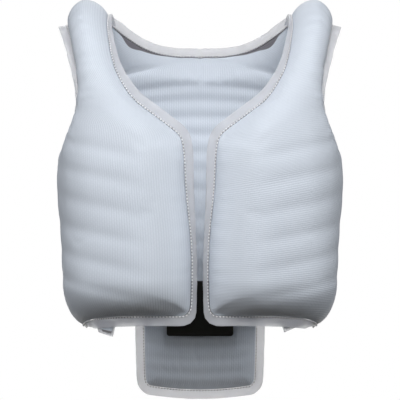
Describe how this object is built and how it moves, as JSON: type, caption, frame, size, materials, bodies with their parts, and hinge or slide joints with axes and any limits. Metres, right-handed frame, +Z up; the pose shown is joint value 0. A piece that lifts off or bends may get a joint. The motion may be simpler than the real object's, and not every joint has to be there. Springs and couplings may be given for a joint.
{
  "type": "airbag vest",
  "caption": "Inflated airbag vest with puffed front and back chambers, welded edge flanges, a padded tail and a box inside the lower back; shields the torso in a fall.",
  "frame": {"origin": "middle of the shoulder rest, between the two straps and level with their undersides", "axes": "+X to the wearer's left, +Y to the wearer's back, +Z up"},
  "size_m": [0.4272, 0.3679, 0.6152],
  "materials": {
    "chamber_fabric": "matte coated weave",
    "flange_film": "thin satin film, slightly see-through",
    "box_black": "matte"
  },
  "bodies": {
    "root": {"front_chamber_left": "chamber_fabric", "front_chamber_right": "chamber_fabric", "back_chamber": "chamber_fabric", "tail_pad": "chamber_fabric", "front_flange_left": "flange_film", "front_flange_right": "flange_film", "front_armhole_flange_left": "flange_film", "front_armhole_flange_right": "flange_film", "back_armhole_flange_left": "flange_film", "back_armhole_flange_right": "flange_film", "back_neck_flange": "flange_film", "back_hem_flange_left": "flange_film", "back_hem_flange_right": "flange_film", "tail_flange": "flange_film", "hem_tab_left": "flange_film", "hem_tab_right": "flange_film", "back_box": "box_black"}
  },
  "joints": []
}
